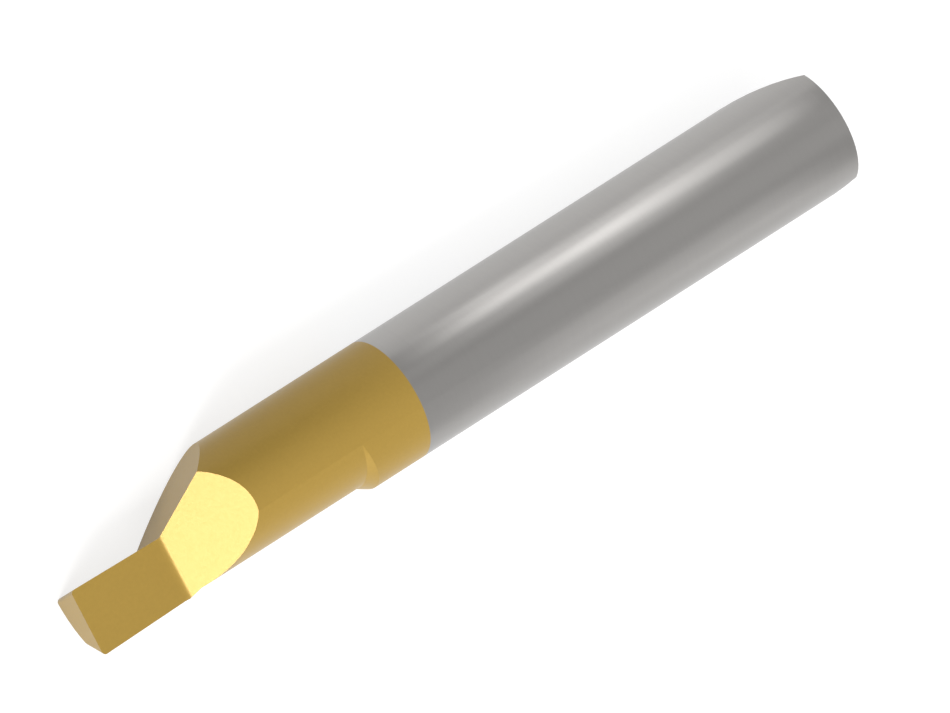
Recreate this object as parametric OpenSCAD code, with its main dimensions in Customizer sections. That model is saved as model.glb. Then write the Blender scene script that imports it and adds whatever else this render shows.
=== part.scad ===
// Face grooving tool for small bores: one bar of solid carbide with a blade ground at its
// front end. The head is coated, the shank is bare.
// X runs along the bar's axis towards the blade, Y towards the blade's outer side and Z up
// from the rake face. The origin lies on the axis, where the coating starts.

/* [Shank] */
// Diameter of the round bar
bar_d = 6; // [4:0.1:10]
// Length of the bare shank, from the start of the coating to the rear end
shank_length = 25.15; // [18:0.05:60]
// Height of the flat rear face that is left above the rear slope
rear_face_height = 1.56; // [0.4:0.02:2.6]
// Angle between the rear slope and the bar's axis
rear_slope_angle = 30; // [20:1:60]

/* [Neck] */
// Length of the coated collar that keeps the bar's full diameter
collar_length = 2.82; // [0.5:0.02:5]
// How far the neck's outer side is ground in from the bar's surface
neck_inset = 0.395; // [0.25:0.005:0.8]
// How much flatter the neck is ground than the bar, as extra radius
neck_extra_radius = 0.12; // [0.02:0.01:1]
// Angle of the step behind the neck, to the axis
step_angle = 30; // [20:1:60]
// Angle of the ramp from the neck up to the blade, to the axis
ramp_angle = 21; // [15:1:60]
// Radius where the neck runs into its step and its ramp
neck_radius = 0.1; // [0.05:0.05:1]

/* [Head] */
// Length of the coated head, from the start of the coating to the cutting edge
head_length = 18.13; // [15:0.01:30]
// Depth of the rake face below the bar's axis
rake_depth = 0.08; // [0:0.01:0.4]
// Angle of the chip face behind the rake face, to the axis
chip_face_angle = 40; // [25:1:60]
// Radius between the rake face and the chip face
chip_radius = 0.65; // [0.2:0.05:1.2]
// Angle of the relieved shoulder beside the blade, to the axis
shoulder_angle = 35.5; // [25:0.5:60]
// Clearance of the shoulder below the rake face
shoulder_clearance = 10.5; // [4:0.5:15]
// How far the shoulder starts behind the foot of the chip face
shoulder_setback = 0.07; // [0:0.01:0.5]
// Radius where the shoulder meets the blade's inner side
shoulder_radius = 0.15; // [0.05:0.05:0.4]

/* [Blade] */
// Length of the blade, from the cutting edge to the foot of the chip face
blade_length = 4.97; // [2:0.01:7]
// Width of the cutting edge
edge_width = 3.29; // [1.5:0.01:3.6]
// How far the outer corner of the cutting edge lies inside the bar's surface
edge_inset = 0.095; // [0.05:0.005:0.4]
// Radius of both corners of the cutting edge
corner_radius = 0.2; // [0.05:0.05:0.4]
// Angle by which each side of the blade narrows towards the root
side_taper = 1.2; // [0.2:0.1:3]
// Clearance of both sides below the rake face
side_clearance = 12; // [3:0.5:15]
// Clearance of the front flank below the cutting edge
front_clearance = 9.8; // [3:0.2:15]

/* [Hidden] */
$fn = 128;

bar_r = bar_d / 2;
rake_z = -rake_depth;

// The neck's circle lies off the bar's axis, away from the blade
neck_r = bar_r + neck_extra_radius;
neck_reach = bar_r - neck_inset;
neck_y = neck_reach - neck_r;

// Both ends of the cutting edge
outer_y = bar_r - edge_inset;
inner_y = outer_y - edge_width;

// Foot of the chip face
root_x = head_length - blade_length;

// The shoulder starts from a point on the blade's inner edge
shoulder_x = root_x - shoulder_setback;
side_run = (head_length - shoulder_x) * tan(side_taper);
shoulder_y = inner_y + side_run;
shoulder_outer_y = outer_y - side_run;

// Foot of the step and foot of the ramp, on the neck's outer side. The ramp is up to the
// blade's outer side where the shoulder starts.
step_x = collar_length + neck_inset / tan(step_angle);
ramp_x = shoulder_x - (shoulder_outer_y - neck_reach) / tan(ramp_angle);

outer_corner = [head_length, outer_y, rake_z];
inner_corner = [head_length, inner_y, rake_z];
chip_foot = [root_x, 0, rake_z];
shoulder_corner = [shoulder_x, shoulder_y, rake_z];

// Normals of the ground faces, out of the metal
rake_normal = [0, 0, 1];
front_normal = [cos(front_clearance), 0, -sin(front_clearance)];
outer_normal = unit([-sin(side_taper), cos(side_taper), -tan(side_clearance)]);
inner_normal = unit([-sin(side_taper), -cos(side_taper), -tan(side_clearance)]);
chip_normal = [sin(chip_face_angle), 0, cos(chip_face_angle)];
shoulder_normal = unit([sin(shoulder_angle), -cos(shoulder_angle), -tan(shoulder_clearance)]);
slope_normal = [-sin(rear_slope_angle), 0, -cos(rear_slope_angle)];

// Length that reaches past the head from any point of it
reach = head_length + 2 * bar_d;
// How far a round bites past the faces it joins, so that they cross instead of just touching
bite = 0.001;

function unit(v) = v / norm(v);

// Sets a shape at a point, on three square axes
module placed(point, x, y, z) {
    multmatrix([
        [x[0], y[0], z[0], point[0]],
        [x[1], y[1], z[1], point[1]],
        [x[2], y[2], z[2], point[2]]
    ])
        children();
}

// A block that fills the space beyond a plane
module beyond(point, normal) {
    along = abs(normal[1]) > 0.5 ? [1, 0, 0] : [0, 1, 0];
    x = unit(along - (along * normal) * normal);
    placed(point, x, cross(normal, x), normal)
        translate([-reach, -reach, 0])
            cube([2 * reach, 2 * reach, reach]);
}

// Extrudes a corner's section both ways along the line where two planes meet. The section
// opens towards its own +X, away from the metal when side is 1 and into it when side is -1.
module along_corner(point, normal_a, normal_b, side) {
    x = side * unit(normal_a + normal_b);
    z = unit(cross(normal_a, normal_b));
    placed(point, x, cross(z, x), z)
        linear_extrude(2 * reach, center = true)
            children();
}

// Both sides of a corner at the origin, up to where a round of this radius touches them
function corner_sides(turn, radius) =
    let (
        side = [sin(turn / 2), cos(turn / 2)],
        other = [side[0], -side[1]],
        tangent = radius * tan(turn / 2)
    )
    [reach * side, tangent * side, tangent * other, reach * other];

// The round that touches both sides of a corner
module corner_circle(turn, radius) {
    translate([radius / cos(turn / 2), 0])
        circle(radius + bite);
}

// The space beyond both of two planes, with a round along the hollow between them
module beyond_both(point, normal_a, normal_b, radius) {
    turn = acos(normal_a * normal_b);
    sides = corner_sides(turn, radius);
    along_corner(point, normal_a, normal_b, 1) {
        polygon(concat(sides, [sides[3] + [reach, 0], sides[0] + [reach, 0]]));
        corner_circle(turn, radius);
    }
}

// What a round takes off along the edge between two planes
module edge_waste(point, normal_a, normal_b, radius) {
    turn = acos(normal_a * normal_b);
    sides = corner_sides(turn, radius);
    along_corner(point, normal_a, normal_b, -1)
        difference() {
            polygon([sides[1], sides[2], [-radius, 0]]);
            corner_circle(turn, radius);
        }
}

// Half of the neck's section along its own axis, with the full bar beyond both ends
module neck_profile() {
    full_r = bar_r - neck_y + neck_inset;
    step_run = (full_r - neck_r) / tan(step_angle);
    ramp_run = (full_r - neck_r) / tan(ramp_angle);
    step_tangent = neck_radius * tan(step_angle / 2);
    ramp_tangent = neck_radius * tan(ramp_angle / 2);
    difference() {
        polygon([
            [0, -reach],
            [full_r, -reach],
            [full_r, step_x - step_run],
            [neck_r, step_x] + step_tangent * [sin(step_angle), -cos(step_angle)],
            [neck_r, step_x + step_tangent],
            [neck_r, ramp_x - ramp_tangent],
            [neck_r, ramp_x] + ramp_tangent * [sin(ramp_angle), cos(ramp_angle)],
            [full_r, ramp_x + ramp_run],
            [full_r, reach],
            [0, reach]
        ]);
        translate([neck_r + neck_radius, step_x + step_tangent])
            circle(neck_radius + bite);
        translate([neck_r + neck_radius, ramp_x - ramp_tangent])
            circle(neck_radius + bite);
    }
}

// Round bar with the eccentric neck ground into the blade's outer side
module necked_bar() {
    intersection() {
        rotate([0, 90, 0])
            cylinder(h = head_length + bar_d, r = bar_r);
        translate([0, neck_y, 0])
            rotate([0, 90, 0])
                rotate_extrude()
                    neck_profile();
    }
}

// Pocket over the rake face, rounded into the chip face
module chip_pocket() {
    beyond_both(chip_foot, rake_normal, chip_normal, chip_radius);
}

// Notch that frees the blade's inner side and relieves the shoulder
module shoulder_notch() {
    beyond_both(shoulder_corner, shoulder_normal, inner_normal, shoulder_radius);
}

// Flat outer side of the blade, ahead of the foot of the ramp
module outer_side_cut() {
    intersection() {
        beyond(outer_corner, outer_normal);
        beyond([ramp_x, 0, 0], [1, 0, 0]);
    }
}

module head() {
    difference() {
        necked_bar();
        chip_pocket();
        shoulder_notch();
        outer_side_cut();
        beyond(outer_corner, front_normal);
        edge_waste(outer_corner, front_normal, outer_normal, corner_radius);
        edge_waste(inner_corner, front_normal, inner_normal, corner_radius);
    }
}

// Plain shank, with the slope under its rear end that turns the tool in its holder
module shank() {
    difference() {
        translate([-shank_length, 0, 0])
            rotate([0, 90, 0])
                cylinder(h = shank_length, r = bar_r);
        beyond([-shank_length, 0, bar_r - rear_face_height], slope_normal);
    }
}

module grooving_bar() {
    color("silver")
        shank();
    color("goldenrod")
        head();
}

grooving_bar();
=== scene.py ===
"""A solid carbide face grooving tool: bare ground shank, gold coated head with its blade."""
import math

import bpy
import bmesh
from mathutils import Matrix, Vector

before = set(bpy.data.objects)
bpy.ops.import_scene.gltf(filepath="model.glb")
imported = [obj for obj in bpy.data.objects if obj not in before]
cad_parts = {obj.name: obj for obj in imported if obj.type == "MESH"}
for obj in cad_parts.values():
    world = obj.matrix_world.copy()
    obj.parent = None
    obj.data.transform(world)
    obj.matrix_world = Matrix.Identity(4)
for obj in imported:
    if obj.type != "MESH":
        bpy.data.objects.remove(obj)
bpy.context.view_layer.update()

MM = 0.001

# The photo is close to a parallel view, so the camera stands far off with a very long lens.
# Its place and its lens are in millimetres, its turn in degrees and its clipping in metres.
CAMERA_PLACE = (590.850, -275.569, 1257.546)
CAMERA_TURN = (2.5640, -27.4578, 149.5900)
CAMERA_LENS = 1200
CLIP_START, CLIP_END = 0.4, 4

# The tool lies on the floor on its round underside
FLOOR_Z = -3.0 * MM
FLOOR_HALF_WIDTH = 1.5

# What the camera and the metal see of the floor: its own glow, and how much light adds to it.
# Then the grey by which it throws plain light back on the tool.
FLOOR_GLOW = 0.78
FLOOR_SHADE = 0.3
FLOOR_COLOUR = 0.5

# The studio is white round the horizon and has a grey ceiling. Part of it falls on the tool
# as plain light.
CEILING = 0.35
STUDIO_LIGHT = 0.75
WHITE_UP_TO = math.sin(math.radians(6))
GREY_FROM = math.sin(math.radians(20))

# Lamps, in millimetres from the start of the coating. A brightness of 1 looks white.
# name, place, aim, size along the bar and across it, brightness
LAMPS = (
    ("front key", (236.4, 86.1, 163.4), (0, 0, 0), (85, 70), 35.2),
    ("overhead softbox", (25, 77.6, 289.8), (0, 0, 0), (205, 325), 1.95),
    ("ridge softbox", (-111, 62.7, 271.5), (0, 0, 0), (140, 225), 0.19),
    ("rear softbox", (-195.5, 27.3, 225.9), (0, 0, 0), (189.1, 204.8), 0.45),
    ("rear side softbox", (-145.1, -116.3, 235.4), (0, 0, 0), (60.6, 106.9), 0.75),
    ("outer side softbox", (-16.7, 234.7, 186.1), (0, 0, 0), (326.5, 234.3), 0.52),
    ("low side softbox", (50.3, 285.4, 77.6), (0, 0, 0), (125, 125), 1.37),
    ("shank streak", (-26, -17.7, 14.2), (-16.6, -1.6, 2.5), (13, 11), 1.29),
    ("middle streak", (-18.1, -18.5, 13.1), (-8.8, -1.7, 2.5), (9.7, 6.8), 1.17),
    ("front streak", (-14.7, -19.5, 11.5), (-5.4, -1.8, 2.4), (3.4, 15.6), 1.09),
    ("streak glow", (-20.4, -17.7, 14.3), (-11, -1.6, 2.5), (12.4, 22.5), 0.48),
    ("low streak glow", (-22.9, -21.6, 6.4), (-13.6, -2.1, 2.1), (18.3, 4.5), 0.46),
    ("shank fill", (-23.2, 19.9, 10.1), (-13.8, 1.4, 2.7), (16.3, 17.3), 0.31),
)
# Lamps that give plain light only and are never mirrored
UNMIRRORED_LAMPS = {"overhead softbox"}

# Bare carbide and the coating: colour, metallic and roughness
BARE_COLOUR = (0.339, 0.329, 0.319, 1)
COATING_COLOUR = (0.382, 0.243, 0.043, 1)
BARE_METALLIC, COATING_METALLIC = 1.0, 0.25
BARE_ROUGHNESS, COATING_ROUGHNESS = 0.3, 0.36
# Only the coating has this, because the bare carbide is all metal
COATING_SPECULAR = 0.4

# Half the width over which the coating's edge fades, in metres
COATING_EDGE = 0.01 * MM

# Fine texture: rings round the shank and grain on the coating, in spots per metre along each axis
RING_SCALE = (7000, 150, 150)
GRAIN_SCALE = (7000, 7000, 7000)
TEXTURE_DETAIL = 2
NOISE_MIDDLE = 0.5

# How much the texture changes the tone, the roughness and the height, in millimetres. The first
# number is for the bare carbide and the second for the coating.
TONE_CHANGE = (0.05, 0.12)
ROUGHNESS_CHANGE = (0.03, 0.08)
RELIEF = (0.0002, 0.003)


def place_camera():
    """The photo's view, down on the rake face from the front and a little from the inner side."""
    data = bpy.data.cameras.new("camera")
    data.lens = CAMERA_LENS
    data.clip_start, data.clip_end = CLIP_START, CLIP_END
    camera = bpy.data.objects.new("camera", data)
    camera.location = Vector(CAMERA_PLACE) * MM
    camera.rotation_euler = [math.radians(angle) for angle in CAMERA_TURN]
    bpy.context.scene.collection.objects.link(camera)
    bpy.context.scene.camera = camera


def empty_tree(holder):
    """The node tree of a material or a world, with nothing in it."""
    holder.use_nodes = True
    holder.node_tree.nodes.clear()
    return holder.node_tree


def add(tree, kind, **settings):
    node = tree.nodes.new(kind)
    for name, value in settings.items():
        setattr(node, name, value)
    return node


def feed(tree, value, socket):
    """Gives a socket a plain number, or links it to another node."""
    if isinstance(value, (int, float)):
        socket.default_value = value
    else:
        tree.links.new(value, socket)


def math_node(tree, operation, *values):
    node = add(tree, "ShaderNodeMath", operation=operation)
    for value, socket in zip(values, node.inputs):
        feed(tree, value, socket)
    return node.outputs[0]


def grey(level):
    return (level, level, level, 1)


def seen_rays(tree):
    """1 for what the camera sees, directly, mirrored or through glass."""
    path = add(tree, "ShaderNodeLightPath")
    seen = math_node(tree, "MAXIMUM", path.outputs["Is Camera Ray"], path.outputs["Is Glossy Ray"])
    return math_node(tree, "MAXIMUM", seen, path.outputs["Is Transmission Ray"])


def floor_material():
    """A floor that stays white round the tool and keeps its shadow."""
    material = bpy.data.materials.new("pale floor")
    tree = empty_tree(material)
    link = tree.links.new
    out = add(tree, "ShaderNodeOutputMaterial")
    plain = add(tree, "ShaderNodeBsdfDiffuse")
    plain.inputs["Color"].default_value = grey(FLOOR_COLOUR)
    shaded = add(tree, "ShaderNodeBsdfDiffuse")
    shaded.inputs["Color"].default_value = grey(FLOOR_SHADE)
    glow = add(tree, "ShaderNodeEmission")
    glow.inputs["Strength"].default_value = FLOOR_GLOW
    both = add(tree, "ShaderNodeAddShader")
    mix = add(tree, "ShaderNodeMixShader")
    link(shaded.outputs[0], both.inputs[0])
    link(glow.outputs[0], both.inputs[1])
    link(seen_rays(tree), mix.inputs[0])
    link(plain.outputs[0], mix.inputs[1])
    link(both.outputs[0], mix.inputs[2])
    link(mix.outputs[0], out.inputs["Surface"])
    return material


def lay_floor():
    mesh = bpy.data.meshes.new("floor")
    bm = bmesh.new()
    bmesh.ops.create_grid(bm, x_segments=1, y_segments=1, size=FLOOR_HALF_WIDTH)
    bmesh.ops.translate(bm, verts=bm.verts, vec=(0, 0, FLOOR_Z))
    bm.to_mesh(mesh)
    bm.free()
    mesh.materials.append(floor_material())
    floor = bpy.data.objects.new("floor", mesh)
    bpy.context.scene.collection.objects.link(floor)


def light_world():
    """A white horizon under a grey ceiling, which gives a little less light than it shows."""
    world = bpy.data.worlds.new("studio")
    tree = empty_tree(world)
    link = tree.links.new
    out = add(tree, "ShaderNodeOutputWorld")
    back = add(tree, "ShaderNodeBackground")
    place = add(tree, "ShaderNodeTexCoord")
    split = add(tree, "ShaderNodeSeparateXYZ")
    fade = add(tree, "ShaderNodeMapRange", interpolation_type="SMOOTHSTEP")
    for name, value in zip(("From Min", "From Max", "To Min", "To Max"),
                           (WHITE_UP_TO, GREY_FROM, 1.0, CEILING)):
        fade.inputs[name].default_value = value
    link(place.outputs["Generated"], split.inputs[0])
    link(split.outputs["Z"], fade.inputs["Value"])
    link(fade.outputs[0], back.inputs["Color"])
    strength = math_node(tree, "MULTIPLY_ADD", seen_rays(tree), 1 - STUDIO_LIGHT, STUDIO_LIGHT)
    link(strength, back.inputs["Strength"])
    link(back.outputs[0], out.inputs["Surface"])
    bpy.context.scene.world = world


def hang_lamp(name, place, aim, size, brightness):
    """A flat lamp whose width follows the bar's axis."""
    data = bpy.data.lights.new(name, "AREA")
    data.shape = "RECTANGLE"
    data.size, data.size_y = size[0] * MM, size[1] * MM
    data.energy = brightness * math.pi * data.size * data.size_y
    lamp = bpy.data.objects.new(name, data)
    away = (Vector(place) - Vector(aim)).normalized()
    axis = Vector((1, 0, 0))
    along = (axis - axis.dot(away) * away).normalized()
    turn = Matrix((along, away.cross(along), away)).transposed()
    lamp.location = Vector(place) * MM
    lamp.rotation_mode = "QUATERNION"
    lamp.rotation_quaternion = turn.to_quaternion()
    lamp.visible_camera = False
    lamp.visible_glossy = name not in UNMIRRORED_LAMPS
    bpy.context.scene.collection.objects.link(lamp)


def noise(tree, points, scale):
    """Noise between 0 and 1, with its own scale along each axis, in spots per metre."""
    stretch = add(tree, "ShaderNodeMapping")
    stretch.inputs["Scale"].default_value = scale
    spots = add(tree, "ShaderNodeTexNoise")
    spots.inputs["Scale"].default_value = 1
    spots.inputs["Detail"].default_value = TEXTURE_DETAIL
    tree.links.new(points, stretch.inputs["Vector"])
    tree.links.new(stretch.outputs[0], spots.inputs["Vector"])
    return spots.outputs[0]


def blend(tree, factor, bare, coating):
    """One number for the bare carbide and another for the coating."""
    mix = add(tree, "ShaderNodeMix", data_type="FLOAT")
    tree.links.new(factor, mix.inputs["Factor"])
    feed(tree, bare, mix.inputs["A"])
    feed(tree, coating, mix.inputs["B"])
    return mix.outputs["Result"]


def carbide_material():
    """Bare ground carbide behind the origin, gold coating in front of it."""
    material = bpy.data.materials.new("coated carbide")
    tree = empty_tree(material)
    link = tree.links.new
    out = add(tree, "ShaderNodeOutputMaterial")
    shader = add(tree, "ShaderNodeBsdfPrincipled")
    shader.inputs["Specular IOR Level"].default_value = COATING_SPECULAR
    link(shader.outputs[0], out.inputs["Surface"])
    place = add(tree, "ShaderNodeTexCoord")
    split = add(tree, "ShaderNodeSeparateXYZ")
    link(place.outputs["Object"], split.inputs[0])
    edge = add(tree, "ShaderNodeMapRange")
    edge.inputs["From Min"].default_value = -COATING_EDGE
    edge.inputs["From Max"].default_value = COATING_EDGE
    link(split.outputs["X"], edge.inputs["Value"])
    coated = edge.outputs[0]

    # Grinding rings round the shank, and the coating's fine grain
    rings = noise(tree, place.outputs["Object"], RING_SCALE)
    grain = noise(tree, place.outputs["Object"], GRAIN_SCALE)
    texture = math_node(tree, "SUBTRACT", blend(tree, coated, rings, grain), NOISE_MIDDLE)

    colour = add(tree, "ShaderNodeMix", data_type="RGBA")
    colour.inputs["A"].default_value = BARE_COLOUR
    colour.inputs["B"].default_value = COATING_COLOUR
    link(coated, colour.inputs["Factor"])
    tone = math_node(tree, "MULTIPLY_ADD", texture, blend(tree, coated, *TONE_CHANGE), 1)
    toned = add(tree, "ShaderNodeVectorMath", operation="SCALE")
    link(colour.outputs["Result"], toned.inputs[0])
    link(tone, toned.inputs["Scale"])
    link(toned.outputs[0], shader.inputs["Base Color"])

    link(blend(tree, coated, BARE_METALLIC, COATING_METALLIC), shader.inputs["Metallic"])
    rough = blend(tree, coated, BARE_ROUGHNESS, COATING_ROUGHNESS)
    change = blend(tree, coated, *ROUGHNESS_CHANGE)
    link(math_node(tree, "MULTIPLY_ADD", texture, change, rough), shader.inputs["Roughness"])

    relief = add(tree, "ShaderNodeBump")
    relief.inputs["Distance"].default_value = MM
    height = math_node(tree, "MULTIPLY", texture, blend(tree, coated, *RELIEF))
    link(height, relief.inputs["Height"])
    link(relief.outputs[0], shader.inputs["Normal"])
    return material


def finish_tool():
    """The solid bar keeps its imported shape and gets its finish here."""
    material = carbide_material()
    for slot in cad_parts["grooving_bar"].material_slots:
        slot.material = material


place_camera()
lay_floor()
light_world()
for lamp in LAMPS:
    hang_lamp(*lamp)
finish_tool()
bpy.context.scene.view_settings.view_transform = "Standard"
